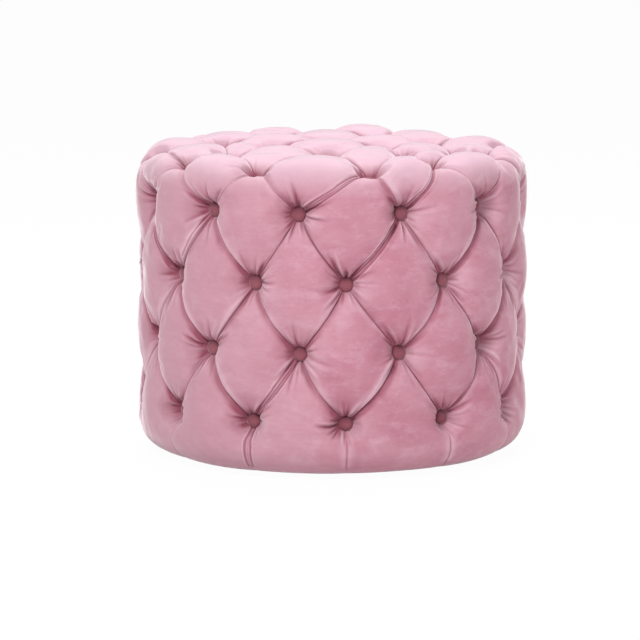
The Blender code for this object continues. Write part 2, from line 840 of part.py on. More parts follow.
def add_wall():
    """Bent hardboard in two halves, butted at the sides, with a hole for each twine."""
    low, high = base_top + clearance, seat_board_height - clearance
    bores = []
    radius = clear_of(twine_radius, wall_hole_sides)
    for row in range(1, row_count + 1):
        for place in range(tuft_count):
            seat, aim = tuft_seat(f"row{row}_{place}")
            start = seat - aim * (Vector((seat.x, seat.y)).length - wall_inner_radius)
            bores.append(bore(start, start + aim * wall_thickness, radius, wall_hole_sides))
    holes = drill("wall_twine_holes", bores)
    hollow = bore(Vector((0, 0, low)), Vector((0, 0, high)), wall_inner_radius, wall_segments)
    hollow = drill("wall_hollow", [hollow])
    for name, side in (("wall_front", -1), ("wall_back", 1)):
        wall = add_disc(name, drum_radius, low, high, HARDBOARD, wall_segments)
        middle = Vector((0, -side * (drum_radius + overrun - wall_slot / 2), (low + high) / 2))
        bpy.ops.mesh.primitive_cube_add(size=1, location=middle)
        width = 2 * (drum_radius + overrun)
        bpy.context.active_object.scale = (width, width, high - low + 2 * overrun)
        bpy.context.view_layer.update()
        boolean(wall, "DIFFERENCE", hollow)
        boolean(wall, "DIFFERENCE", as_guide(f"{name}_trim"))
        boolean(wall, "DIFFERENCE", holes)


def screw_seat(board, place):
    """The outer face of a board over the middle of a post."""
    height = seat_top if board == "seat" else base_board_height
    return on_circle(post_circle_radius, post_turn(place), height)


def screw_way(board):
    """The direction in which a board's screws are driven."""
    return Vector((0, 0, -1 if board == "seat" else 1))


def screw_pilot(board, place):
    start = screw_seat(board, place)
    radius = clear_of(screw_radius, screw_sides)
    return start, start + screw_way(board) * (screw_length + clearance), radius, radius, screw_sides


def screw_bores(board):
    starts = [screw_seat(board, place) for place in range(post_count)]
    through = screw_way(board) * board_thickness
    radius = clear_of(screw_radius, screw_sides)
    return [bore(start, start + through, radius, screw_sides) for start in starts]


def countersinks(board):
    """Cones that widen to each screw's head and on past the board's face."""
    bores = []
    mouth, throat = clear_of(screw_head_radius, screw_sides), clear_of(screw_radius, screw_sides)
    widening = (mouth - throat) / screw_head_height
    for place in range(post_count):
        start = screw_seat(board, place)
        outside = start - screw_way(board) * overrun
        inside = start + screw_way(board) * screw_head_height
        bores.append((outside, inside, mouth + overrun * widening, throat, screw_sides))
    return bores


def add_screw(name, seat, out):
    """Flat-headed screw, its head let into the board by a matching recess."""
    profile = [
        (0.0, 0.0),
        (screw_head_radius, 0.0),
        (screw_radius, -screw_head_height),
        (screw_radius, -screw_length),
        (0.0, -screw_length),
    ]
    return turned_piece(name, profile, STEEL, seat, out, screw_sides)


def turned_piece(name, profile, finish, place, up, sides):
    line = bpy.data.meshes.new(name)
    edges = [(spot, spot + 1) for spot in range(len(profile) - 1)]
    line.from_pydata([(radius, 0.0, height) for radius, height in profile], edges, [])
    item = add_mesh(name, line, finish)
    item.location = place
    item.rotation_euler = up.to_track_quat("Z", "Y").to_euler()
    turned = item.modifiers.new("turn", "SCREW")
    turned.steps = turned.render_steps = sides
    turned.use_merge_vertices = True
    turned.merge_threshold = merge_distance
    return item


# Underside


def glide_place(place):
    return on_circle(glide_circle_radius, front_turn + place * 2 * math.pi / glide_count, 0.0)


def add_underside():
    low = glide_height + clearance
    lining = add_disc("dust_cover", dust_cover_radius, low, low + dust_cover_thickness, LINING, wall_segments)
    bores = []
    for place in range(glide_count):
        point = glide_place(place)
        start, end = point + Vector((0, 0, low)), point + Vector((0, 0, low + dust_cover_thickness))
        bores.append(bore(start, end, clear_of(glide_nail_radius, screw_sides), screw_sides))
    boolean(lining, "DIFFERENCE", drill("dust_cover_holes", bores))
    profile = [
        (0.0, base_board_height + glide_nail_grip),
        (glide_nail_radius, base_board_height + glide_nail_grip),
        (glide_nail_radius, glide_height),
        (glide_radius, glide_height),
        (glide_radius, glide_height / 2),
        (glide_radius - glide_height / 2, 0.0),
        (0.0, 0.0),
    ]
    for place in range(glide_count):
        turned_piece(f"glide_{place + 1}", profile, NYLON, glide_place(place), Vector((0, 0, 1)), glide_sides)


add_upholstery()
add_all_buttons()
add_frame()
add_underside()
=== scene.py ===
"""Looks of the round tufted ottoman: velvet with pleats and gathers, covered buttons, underside.

Lengths are in metres and angles in radians. A turn is measured round the drum from the front (-Y)
towards +X, and a run is measured up the outline from the lowest line of the hem.
"""

import json
import math

import bmesh
import bpy
import numpy as np
from mathutils import Matrix, Vector
from mathutils.kdtree import KDTree


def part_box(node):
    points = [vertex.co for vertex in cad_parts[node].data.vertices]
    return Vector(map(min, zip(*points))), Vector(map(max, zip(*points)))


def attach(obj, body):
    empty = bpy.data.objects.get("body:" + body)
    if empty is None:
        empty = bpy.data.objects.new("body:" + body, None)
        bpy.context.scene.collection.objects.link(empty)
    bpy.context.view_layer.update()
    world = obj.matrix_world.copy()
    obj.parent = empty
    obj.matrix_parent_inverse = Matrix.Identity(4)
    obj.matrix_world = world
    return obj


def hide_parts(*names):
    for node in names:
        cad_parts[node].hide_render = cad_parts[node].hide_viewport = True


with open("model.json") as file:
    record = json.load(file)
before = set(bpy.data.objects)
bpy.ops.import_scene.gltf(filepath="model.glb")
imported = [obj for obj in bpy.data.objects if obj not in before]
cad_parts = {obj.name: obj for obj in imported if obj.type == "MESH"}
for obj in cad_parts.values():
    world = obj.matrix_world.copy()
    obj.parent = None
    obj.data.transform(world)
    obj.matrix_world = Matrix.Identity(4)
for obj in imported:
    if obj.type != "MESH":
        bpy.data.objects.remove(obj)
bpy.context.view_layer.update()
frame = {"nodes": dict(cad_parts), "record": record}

# Upholstery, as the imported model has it
crown_radius = 0.280
body_height = 0.436
shoulder_radius = 0.045
hem_radius = 0.037
hem_level = 0.0062
turn_under = 0.030
tuft_count = 12
row_count = 4
top_row_drop = 0.072
bottom_row_height = 0.0733
ring_lean = math.radians(20)
front_turn = math.radians(5.4)
tuft_depth = 0.027
hem_line_share = 0.45
shift_shares = {
    "ring_0": 0.22, "row1_0": -0.027, "row1_1": 0.025, "row1_2": 0.05, "row1_11": 0.02,
    "row2_0": -0.045, "row2_1": 0.016, "row2_10": 0.01, "row2_11": 0.015,
    "row3_0": -0.013, "row3_1": 0.008, "row3_2": 0.064, "row3_11": -0.015,
    "row4_0": -0.047, "row4_1": 0.017, "row4_2": -0.048, "row4_10": 0.012, "row4_11": -0.013,
}
ring_reach_shares = {"ring_1": 0.4, "ring_2": 0.4}
top_place_shares = {
    "top_front": (-0.02, -0.37), "top_right_front": (0.37, -0.40), "top_far_right": (0.62, -0.30),
    "top_right_back": (0.52, 0.16), "top_back_right": (0.25, 0.44), "top_back_left": (-0.29, 0.44),
    "top_left_back": (-0.56, 0.16), "top_left_front": (-0.52, -0.38), "top_left": (-0.29, -0.10),
    "top_middle": (-0.02, 0.17), "top_right": (0.25, -0.10),
}

# Pleats and pillows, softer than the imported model's
crown_rise = 0.0035
pleat_depth = 0.0088
pleat_variation = 0.15
hem_pleat_depth = 0.0018
pleat_power = 1.6
pleat_sag = 0.0035
pleat_sway = 0.0012
top_sway_share = 2
swell_power = 2.2
top_fullness = 0.001
fullness_variation = 0.0012
top_tuft_extra = 0.006
end_share = 0.4
unevenness_height = 0.0006
calm_middle = 0.1
# Pillows that stand higher or lower than the others, and tufts that are drawn in deeper
extra_fullness = {
    "row1_3": 0.004, "row1_5": -0.003, "row1_6": 0.0035, "row1_7": -0.002, "row1_8": -0.002,
    "ring_4": -0.003, "ring_7": -0.002, "top_middle": -0.002,
}
extra_depth = {"row1_2": 0.0045, "row3_2": 0.0045, "row4_10": 0.003, "row2_10": 0.002, "row1_10": 0.003}
# Pleats with more folds beside them, and how many
extra_folds = {
    frozenset(("hem_11", "row4_11")): 1, frozenset(("row1_0", "ring_0")): 1,
    frozenset(("row1_1", "ring_1")): 1, frozenset(("row2_0", "row1_1")): 1,
    frozenset(("row3_0", "row4_11")): 1, frozenset(("row2_10", "row1_10")): 2,
    frozenset(("row1_11", "row2_10")): 1,
}

# Funnels round the buttons
funnel_foot_radius = 0.0108
funnel_foot_height = 0.0052
funnel_slope = 1.35
funnel_blend = 0.004
funnel_core = 0.001
pull_reach = 0.055
tuft_mark_range = 40

# Grooves and laps of the pleats
slit_depth = 0.0008
slit_width = 0.0011
slit_variation = 0.45
slit_share_limits = (0.2, 1.6)
slit_fading_shares = (0.2, 0.9)
hem_slit_share = 0.5
shoulder_pleat_share = 0.3
fold_spacing = 0.0042
fold_share = 1.8
fold_lip_share = 0.5
fold_lip_place = 1.7
lap_height = 0.0019
lap_height_shares = (-0.3, 1.0)
lap_width = 0.0028
lap_start_share = 0.25
# How much grooves and laps count in the crease mark, which the velvet turns into painted shade and painted
# highlight.
groove_mark = 5.0
lap_mark = 2.5

# Gathers round the buttons
top_gather_share = 0.6
side_gather_share = 1.35
gather_weight_shares = (0.55, 1.35)
gather_angle = math.radians(20)
least_gathers = 3
gather_scatter_share = 0.3
shortest_gather = 0.012
gather_length_range = 0.052
gather_depths = (0.0008, 0.0050)
edge_gather_angle = math.radians(9)
edge_gather_scatter = math.radians(1.5)
edge_gather_lengths = (0.030, 0.085)
edge_gather_depths = (0.0010, 0.0040)
gather_bend = 2.5
gather_bend_start = 0.012
gather_widths = (0.0009, 0.0015)
gather_width_shares = (0.022, 0.040)
gather_lip_share = 0.6
gather_lip_place = 2.2
gather_start = 0.010
gather_power = 1.2
button_side = 0.009
button_side_width = 0.007
button_side_share = 0.3
calm_share = 0.05

# Meshes
patch_steps = 30
spacing_power = 1.3
turn_under_steps = 6
merge_distance = 0.00002

# Settling of the velvet as cloth
cloth_steps = 11
cloth_excess = 0.03
settling_steps = 12
most_settling = 0.005
least_settling = 1e-9
seam_hold = 0.012
free_depth = 0.0045
held_depth = 0.0085
smoothing_passes = 2
kept_share = 0.4
near_count = 6
near_softening = 0.0012

hem_arc = hem_radius * math.pi / 2
side_run = body_height - hem_radius - shoulder_radius
shoulder_arc = shoulder_radius * math.pi / 2
flat_run = crown_radius - shoulder_radius
outline_run = hem_arc + side_run + shoulder_arc + flat_run
tuft_step = 2 * math.pi / tuft_count
top_row_height = body_height - top_row_drop
row_spacing = (top_row_height - bottom_row_height) / (row_count - 1)
ring_run = outline_run - flat_run - shoulder_radius * ring_lean


def outline(run):
    """Radius, height and outward direction (radial, vertical) of the crowns along a run."""
    past_side = run - hem_arc - side_run
    low_bend = np.clip(run / hem_radius, 0, math.pi / 2)
    high_bend = np.clip(past_side / shoulder_radius, 0, math.pi / 2)
    radius = crown_radius - hem_radius * (1 - np.sin(low_bend)) + np.minimum(run, 0)
    radius = radius - shoulder_radius * (1 - np.cos(high_bend)) - np.maximum(past_side - shoulder_arc, 0)
    height = hem_level + hem_radius * (1 - np.cos(low_bend)) + np.clip(run - hem_arc, 0, side_run)
    height = height + shoulder_radius * np.sin(high_bend)
    height = height + crown_rise * (1 - np.minimum(radius / flat_run, 1) ** 2)
    lean = low_bend + high_bend - math.pi / 2
    return radius, height, np.cos(lean), np.sin(lean)


def on_outline(turn, run, depth):
    """Points at a depth below the crowns, as rows of x, y and z."""
    radius, height, out, up = outline(run)
    radius = radius - depth * out
    return np.stack([radius * np.sin(turn), -radius * np.cos(turn), height - depth * up], -1)


# Tufts and the pillows between them


def row_turn(row, place):
    half = -0.5 if row % 2 else 0.0
    return front_turn + (place + half + shift_shares.get(f"row{row}_{place}", 0.0)) * tuft_step


def row_run(row):
    return hem_arc + top_row_height - hem_radius - (row - 1) * row_spacing


def tuft_spots():
    spots = {}
    for place in range(tuft_count):
        ring = f"ring_{place}"
        reach = ring_reach_shares.get(ring, 0.0) * shoulder_radius
        turn = front_turn + (place + shift_shares.get(ring, 0.0)) * tuft_step
        spots[ring] = (turn, ring_run + reach)
        spots[f"hem_{place}"] = (row_turn(row_count, place), hem_line_share * hem_arc)
        for row in range(1, row_count + 1):
            spots[f"row{row}_{place}"] = (row_turn(row, place), row_run(row))
    for name, (right, back) in top_place_shares.items():
        spots[name] = (math.atan2(right, -back), outline_run - crown_radius * math.hypot(right, back))
    return spots


SPOTS = tuft_spots()


def side_cells(places):
    """Pillows of the side, row by row, their corners counter-clockwise from below."""
    cells = []
    for row in range(1, row_count + 1):
        for place in places:
            after = (place + 1) % tuft_count
            near = place if row % 2 else after
            above = f"ring_{near}" if row == 1 else f"row{row - 1}_{near}"
            left, right = f"row{row}_{place}", f"row{row}_{after}"
            if row < row_count:
                cells.append((f"row{row + 1}_{near}", right, above, left))
            else:
                cells.append((f"hem_{place}", f"hem_{after}", right, above, left))
    return cells


def top_cells():
    """Pillows of the shoulder and of the top, their corners counter-clockwise from outside."""
    behind = {
        0: "top_front", 1: "top_right_front", 2: "top_far_right", 4: "top_right_back",
        6: "top_back_right", 7: "top_back_left", 9: "top_left_back", 11: "top_left_front",
    }
    cells = []
    for place in range(tuft_count):
        inner = [behind[place]] if place in behind else []
        cells.append((f"row1_{place}", f"ring_{place}", *inner, f"ring_{(place - 1) % tuft_count}"))
    return cells + [
        ("ring_0", "top_right_front", "top_right", "top_front"),
        ("ring_11", "top_front", "top_left", "top_left_front"),
        ("top_front", "top_right", "top_middle", "top_left"),
        ("ring_1", "top_far_right", "top_right_front"),
        ("top_right_front", "top_far_right", "top_right_back", "top_right"),
        ("ring_2", "ring_3", "top_right_back", "top_far_right"),
        ("ring_4", "ring_5", "top_back_right", "top_right_back"),
        ("ring_7", "ring_8", "top_left_back", "top_back_left"),
        ("ring_9", "ring_10", "top_left_front", "top_left_back"),
        ("top_left_front", "top_left", "top_left_back"),
        ("top_right", "top_right_back", "top_back_right", "top_middle"),
        ("top_left", "top_middle", "top_back_left", "top_left_back"),
        ("top_middle", "top_back_right", "ring_6", "top_back_left"),
    ]


def is_on_top(spot):
    return not spot.startswith(("row", "hem"))


def is_hem(spot):
    return spot.startswith("hem")


def spot_depth(spot):
    if is_hem(spot):
        return hem_pleat_depth
    return tuft_depth + (top_tuft_extra if is_on_top(spot) else extra_depth.get(spot, 0.0))


def fade_in(share):
    """Zero at nothing, one from a whole share on, level at both ends."""
    share = np.clip(share, 0, 1)
    return share * share * (3 - 2 * share)


def nearest_turn(turn, other):
    return other + (turn - other + math.pi) % (2 * math.pi) - math.pi


def on_map(turn, run):
    """Flat map of the top and shoulder: the middle of the top at zero, runs drawn out straight."""
    reach = outline_run - run
    return np.stack([reach * np.sin(turn), -reach * np.cos(turn)], -1)


def from_map(point):
    return np.arctan2(point[..., 0], -point[..., 1]), outline_run - np.hypot(point[..., 0], point[..., 1])


def chance(*names):
    """Random numbers that belong to a name, the same at every run."""
    return np.random.default_rng([ord(letter) for letter in "/".join(names)])


def pleat_line(start, end, shares):
    """Turns and runs along a pleat, which sags a little between its two tufts."""
    if start > end:
        turn, run = pleat_line(end, start, 1 - shares)
        return turn, run
    sway = chance("sway", start, end).normal() * pleat_sway
    wave = np.sin(math.pi * shares)[:, None]
    if is_on_top(start) and is_on_top(end):
        first, last = on_map(*SPOTS[start]), on_map(*SPOTS[end])
        side = np.array([first[1] - last[1], last[0] - first[0]])
        side = side / np.hypot(*side)
        return from_map(first + (last - first) * shares[:, None] + side * sway * top_sway_share * wave)
    turn, run = SPOTS[start]
    end_turn, end_run = SPOTS[end]
    first = np.array([0.0, run])
    last = np.array([(nearest_turn(end_turn, turn) - turn) * crown_radius, end_run])
    side = np.array([first[1] - last[1], last[0] - first[0]])
    side = side / np.hypot(*side)
    sag = 0.0 if is_hem(start) or is_hem(end) else pleat_sag * -math.copysign(1, side[1])
    line = first + (last - first) * shares[:, None] + side * (sway + sag) * wave
    return turn + line[:, 0] / crown_radius, line[:, 1]


def pleat_profile(start, end, shares):
    """Depth from a tuft (share 0) to the middle of its pleat (share 1)."""
    if is_hem(start) or is_hem(end):
        middle = hem_pleat_depth
    else:
        low, high = sorted((start, end))
        middle = pleat_depth * (1 + pleat_variation * chance("depth", low, high).normal())
        if low.startswith("ring") and high.startswith("row"):
            middle *= shoulder_pleat_share
    return middle + (spot_depth(start) - middle) * (1 - shares) ** pleat_power


def swell(share):
    """One on a pleat and zero at half a pillow's width, like a section of a full cushion."""
    return 1 - (1 - (1 - share) ** swell_power) ** (1 / swell_power)


class Sheet:
    """The points and faces of a tufted sheet, gathered patch by patch."""

    def __init__(self, side, top, steps):
        self.steps = steps
        self.shares = (np.arange(steps + 1) / steps) ** spacing_power
        self.points, self.faces, self.pulls, self.marks = [], [], [], []
        self.count = 0
        for cell in side + top:
            self.add_cell(cell, cell in top)

    def add_cell(self, cell, on_top):
        if on_top:
            to_chart, to_place = on_map, from_map
        else:
            first = SPOTS[cell[0]][0]
            middle = sum(nearest_turn(SPOTS[spot][0], first) for spot in cell) / len(cell)

            def to_chart(turn, run):
                return np.stack([(nearest_turn(turn, middle) - middle) * crown_radius, run], -1)

            def to_place(point):
                return middle + point[..., 0] / crown_radius, point[..., 1]

        heart = sum(to_chart(*SPOTS[spot]) for spot in cell) / len(cell)
        for place, corner in enumerate(cell):
            ahead, behind = cell[(place + 1) % len(cell)], cell[place - 1]
            self.add_patch(cell, corner, ahead, behind, heart, to_chart, to_place)
            if is_hem(corner) and is_hem(ahead):
                self.add_hem(corner, ahead)

    def add_patch(self, cell, corner, ahead, behind, heart, to_chart, to_place):
        """One tuft's share of a pillow, out to half of each pleat and to the pillow's heart."""
        shares = self.shares
        edge_u = to_chart(*pleat_line(corner, ahead, shares / 2))
        edge_v = to_chart(*pleat_line(corner, behind, shares / 2))
        start = edge_u[0]
        u, v = np.meshgrid(shares, shares, indexing="ij")
        far_u = edge_v[-1] + (heart - edge_v[-1]) * shares[:, None]
        far_v = edge_u[-1] + (heart - edge_u[-1]) * shares[:, None]
        across_v = edge_u[:, None] * (1 - v[..., None]) + far_u[:, None] * v[..., None]
        across_u = edge_v[None] * (1 - u[..., None]) + far_v[None] * u[..., None]
        corners = start * ((1 - u) * (1 - v))[..., None] + edge_u[-1] * (u * (1 - v))[..., None]
        corners = corners + edge_v[-1] * ((1 - u) * v)[..., None] + heart * (u * v)[..., None]
        flat = across_v + across_u - corners
        depth = self.patch_depth(cell, corner, ahead, behind, u, v)
        crease = np.zeros_like(depth)
        within = fade_in((1 - u) / end_share) * fade_in((1 - v) / end_share)
        reach = flat - start
        distance = np.hypot(reach[..., 0], reach[..., 1])
        if not is_hem(corner):
            deep = spot_depth(corner)
            rise = funnel_foot_height + (distance - funnel_foot_radius) * funnel_slope
            gap = depth - (deep - rise)
            blend = np.sqrt(gap**2 + funnel_blend**2) - gap
            depth = depth + within * (blend - funnel_blend**2 / (funnel_blend + np.abs(gap))) / 2
            folds = self.gathers(cell, corner, edge_u, edge_v, flat, distance, u, v) * within
            depth, crease = depth + folds, crease + folds
        heart_run = to_place(heart)[1]
        for fold, mark in (
            self.fold(corner, ahead, u, v, edge_v, far_u, heart_run),
            self.fold(corner, behind, v, u, edge_u, far_v, heart_run),
        ):
            depth, crease = depth + fold, crease + mark
        turn, run = to_place(flat)
        depth = depth + unevenness(turn, run)
        away = np.maximum(distance, funnel_core)
        # Nearness to the button, which the velvet uses for painted light and shade on the slopes and for the
        # gathers' bump.
        near = np.clip(1 - distance / pull_reach, 0, 1) * within * (not is_hem(corner))
        pull = np.stack([reach[..., 0] / away, reach[..., 1] / away, near], -1)
        tuft = np.full_like(depth, chance("mark", corner).uniform(0, tuft_mark_range))
        # Depth goes to the velvet as painted shade in the funnels, crease as painted shade in grooves and a
        # highlight on lips.
        marks = np.stack([depth, crease, tuft], -1)
        self.add_grid(on_outline(turn, run, depth), pull, marks)

    def patch_depth(self, cell, corner, ahead, behind, u, v):
        along_u, along_v = pleat_profile(corner, ahead, u), pleat_profile(corner, behind, v)
        if is_hem(corner) and is_hem(ahead):
            depth = along_v * swell(u)
        elif is_hem(corner):
            depth = along_u * swell(v)
        else:
            depth = along_u * swell(v) + along_v * swell(u) - spot_depth(corner) * swell(u) * swell(v)
        fullness = fullness_variation * chance("fullness", *cell).normal()
        on_top = sum(map(is_on_top, cell)) / len(cell)
        fullness += top_fullness * on_top**2 + extra_fullness.get(cell[0], 0.0)
        return depth - fullness * u * (2 - u) * v * (2 - v)

    def fold(self, corner, other, along, across, edge, far, heart_run):
        """The pleat's fold: a narrow groove on the line, over which the upper pillow laps."""
        if is_hem(corner) and is_hem(other):
            return 0.0, 0.0
        near_width, far_width = np.hypot(*(edge[-1] - edge[0])), np.hypot(*(far[-1] - far[0]))
        away = across * ((1 - along) * near_width + along * far_width)
        random = chance("fold", *sorted((corner, other)))
        strength = np.clip(1 + slit_variation * random.normal(), *slit_share_limits)
        if is_hem(corner) or is_hem(other):
            strength = hem_slit_share
        elif is_on_top(corner) != is_on_top(other):
            strength = strength * shoulder_pleat_share
        fading = 1 - random.uniform(*slit_fading_shares) * along
        groove = slit_depth * strength * fading * np.exp(-((away / slit_width) ** 2))
        for step in range(1, extra_folds.get(frozenset((corner, other)), 0) + 1):
            beside = (away - step * fold_spacing) / slit_width
            lip = fold_lip_share * np.exp(-((beside - fold_lip_place) ** 2))
            groove = groove + fold_share * slit_depth * (np.exp(-(beside**2)) - lip)
        side = 1 if heart_run > (SPOTS[corner][1] + SPOTS[other][1]) / 2 else -1
        lap = lap_height * random.uniform(*lap_height_shares)
        lap = lap * (away / lap_width) * np.exp(1 - away / lap_width)
        if is_hem(corner) or is_hem(other):
            lap = lap * hem_slit_share
        lap = side * lap * np.clip(along / lap_start_share, 0, 1)
        return groove - lap, groove_mark * groove - lap_mark * lap

    def gathers(self, cell, corner, edge_u, edge_v, flat, distance, u, v):
        """Folds that run out from a button between two pleats, the longest beside the pleats."""
        first, last = edge_u[1] - edge_u[0], edge_v[1] - edge_v[0]
        spread = math.acos(first.dot(last) / (np.hypot(*first) * np.hypot(*last)))
        reach = flat - edge_u[0]
        turned = first[0] * reach[..., 1] - first[1] * reach[..., 0]
        angle = np.arctan2(turned, reach @ first)
        random = chance("gathers", *cell, corner)
        count = max(least_gathers, round(spread / gather_angle))
        weight = top_gather_share if is_on_top(corner) else side_gather_share
        weight *= random.uniform(*gather_weight_shares)
        folds = []
        for fold in range(count):
            at = spread * (fold + 0.5 + random.uniform(-gather_scatter_share, gather_scatter_share)) / count
            length = shortest_gather + gather_length_range * random.random() ** 2
            folds.append((at, length, random.uniform(*gather_depths)))
        for at in (edge_gather_angle, spread - edge_gather_angle):
            at += random.normal() * edge_gather_scatter
            length = random.uniform(*edge_gather_lengths)
            folds.append((at, length, random.uniform(*edge_gather_depths)))
        total = np.zeros_like(distance)
        side = random.choice((-1, 1))
        beside_button = np.clip((distance - button_side) / button_side_width, button_side_share, 1)
        for at, length, strength in folds:
            bend = random.normal() * gather_bend
            width = random.uniform(*gather_widths) + random.uniform(*gather_width_shares) * distance
            aside = (angle - at - bend * (distance - gather_bend_start)) * distance * side
            lip = gather_lip_share * np.exp(-(((aside - gather_lip_place * width) / width) ** 2))
            groove = np.exp(-np.abs(aside) / width) - lip
            fade = np.clip(1 - (distance - gather_start) / length, 0, 1) ** gather_power * beside_button
            total += weight * strength * groove * fade
        calm = np.clip(u / calm_share, 0, 1) * np.clip(v / calm_share, 0, 1)
        return total * calm

    def add_hem(self, left, right):
        """Carry the sheet from its lowest line round the hem and under the base."""
        shares = np.concatenate([self.shares / 2, 1 - self.shares[-2::-1] / 2])
        turn, run = pleat_line(left, right, shares)
        away = np.minimum(shares, 1 - shares) * 2
        depth = hem_pleat_depth * swell(away)
        lines = [run * (1 - share) for share in np.linspace(0, 1, self.steps // 2 + 1)]
        lines += [-turn_under * share + 0 * run for share in np.linspace(0, 1, turn_under_steps)[1:]]
        levels = len(lines)
        points = []
        for level, line in enumerate(lines):
            kept = 1 - level / (levels - 1)
            points.append(on_outline(turn, line, depth * kept + unevenness(turn, line)))
        points = np.stack(points[::-1], 1)
        self.add_grid(points, np.zeros_like(points), np.zeros_like(points))

    def add_grid(self, points, pull, marks):
        rows, columns = points.shape[:2]
        index = self.count + np.arange(rows * columns).reshape(rows, columns)
        quads = [index[:-1, :-1], index[1:, :-1], index[1:, 1:], index[:-1, 1:]]
        self.faces.append(np.stack(quads, -1).reshape(-1, 4))
        self.points.append(points.reshape(-1, 3))
        self.pulls.append(pull.reshape(-1, 3))
        self.marks.append(marks.reshape(-1, 3))
        self.count += rows * columns

    def as_mesh(self, name):
        points, faces = np.concatenate(self.points), np.concatenate(self.faces)
        mesh = bpy.data.meshes.new(name)
        mesh.vertices.add(len(points))
        mesh.vertices.foreach_set("co", points.ravel())
        mesh.loops.add(faces.size)
        mesh.loops.foreach_set("vertex_index", faces.ravel())
        mesh.polygons.add(len(faces))
        mesh.polygons.foreach_set("loop_start", np.arange(0, faces.size, 4))
        mesh.update(calc_edges=True)
        pull = mesh.attributes.new("pull", "FLOAT_VECTOR", "POINT")
        pull.data.foreach_set("vector", np.concatenate(self.pulls).ravel())
        marks = np.concatenate(self.marks)
        for column, label in enumerate(("depth", "crease", "tuft")):
            values = mesh.attributes.new(label, "FLOAT", "POINT")
            values.data.foreach_set("value", np.ascontiguousarray(marks[:, column]))
        return merged(mesh)


def merged(mesh):
    """The mesh with each set of points at one place made one, and shaded smooth."""
    shape = bmesh.new()
    shape.from_mesh(mesh)
    bmesh.ops.remove_doubles(shape, verts=shape.verts, dist=merge_distance)
    shape.to_mesh(mesh)
    shape.free()
    mesh.shade_smooth()
    return mesh


def places_of(mesh):
    places = np.empty(len(mesh.vertices) * 3)
    mesh.vertices.foreach_get("co", places)
    return places.reshape(-1, 3)


def ends_of(mesh):
    ends = np.empty(len(mesh.edges) * 2, int)
    mesh.edges.foreach_get("vertices", ends)
    return ends.reshape(-1, 2)


def rim_of(mesh):
    """Vertices on the cut edges of a sheet, where it is sewn to the next one."""
    used = np.empty(len(mesh.loops), int)
    mesh.loops.foreach_get("edge_index", used)
    return np.unique(ends_of(mesh)[np.bincount(used, minlength=len(mesh.edges)) == 1])


def as_tree(points):
    tree = KDTree(len(points))
    for index, point in enumerate(points):
        tree.insert(point, index)
    tree.balance()
    return tree


def settling_of(coarse):
    """How far each point of a sheet moves when it is blown up as cloth held at its pleats."""
    start, held = places_of(coarse), np.empty(len(coarse.vertices))
    coarse.attributes["depth"].data.foreach_get("value", held)
    held = fade_in((held - free_depth) / (held_depth - free_depth))
    held = np.maximum(held, fade_in((hem_level + hem_radius - start[:, 2]) / (hem_radius / 2)))
    held[rim_of(coarse)] = 1.0
    cloth = bpy.data.objects.new("settling", coarse)
    bpy.context.scene.collection.objects.link(cloth)
    pins = cloth.vertex_groups.new(name="pins")
    for index, weight in enumerate(held):
        pins.add([index], float(weight), "REPLACE")
    sheet = cloth.modifiers.new("settling", "CLOTH")
    settings = sheet.settings
    settings.quality, settings.mass, settings.air_damping = 5, 0.25, 3.0
    settings.tension_stiffness = settings.compression_stiffness = 12.0
    settings.shear_stiffness, settings.bending_stiffness = 4.0, 0.15
    settings.vertex_group_mass, settings.pin_stiffness = "pins", 1.0
    settings.use_pressure, settings.uniform_pressure_force = True, 4.0
    settings.shrink_min = -cloth_excess
    settings.effector_weights.gravity = 0.0
    sheet.collision_settings.use_collision = False
    for step in range(1, settling_steps + 1):
        bpy.context.scene.frame_set(step)
    settled = cloth.evaluated_get(bpy.context.evaluated_depsgraph_get())
    moved = places_of(settled.data) - start
    bpy.context.scene.frame_set(1)
    reach = np.linalg.norm(moved, axis=1)[:, None]
    moved *= most_settling * np.tanh(reach / most_settling) / np.maximum(reach, least_settling)
    bpy.data.objects.remove(cloth, do_unlink=True)
    return moved


def evened(moved, ends):
    """The moves, each one drawn towards those of the points beside it."""
    for _ in range(smoothing_passes):
        total, count = np.zeros_like(moved), np.zeros(len(moved))
        for first, last in (ends.T, ends.T[::-1]):
            np.add.at(total, first, moved[last])
            np.add.at(count, first, 1)
        moved = kept_share * moved + (1 - kept_share) * total / np.maximum(count, 1)[:, None]
    return moved


def let_settle(mesh, coarse):
    """Move a cover as a coarser copy of it settles, and hold it at its pleats and seams."""
    moved = evened(settling_of(coarse), ends_of(coarse))
    tree = as_tree(places_of(coarse))
    places = places_of(mesh)
    seam = as_tree(places[rim_of(mesh)])
    free = np.empty(len(places))
    mesh.attributes["depth"].data.foreach_get("value", free)
    free = 1 - fade_in((free - free_depth) / (held_depth + slit_depth - free_depth))
    for index, point in enumerate(places):
        free[index] *= fade_in(seam.find(point)[2] / seam_hold)
        near = tree.find_n(point, near_count)
        weights = np.array([1 / (away + near_softening) ** 2 for _, _, away in near])
        places[index] += free[index] * (weights @ moved[[other for _, other, _ in near]]) / weights.sum()
    mesh.vertices.foreach_set("co", places.ravel())
    mesh.update()


def unevenness(turn, run):
    """Slight rise and fall that stuffed velvet has all over."""
    broad = np.sin(3 * turn + 1.1) * np.sin(run * 17 + 0.4)
    fine = np.sin(7 * turn - 0.7) * np.sin(run * 31 + 2 * turn)
    inside = np.clip((outline_run - run) / calm_middle, 0, 1)
    return unevenness_height * (broad + fine) * inside


def add_piece(name, mesh, finish):
    piece = bpy.data.objects.new(name, mesh)
    bpy.context.scene.collection.objects.link(piece)
    mesh.materials.clear()
    mesh.materials.append(finish)
    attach(piece, "root")
    return piece


# Materials


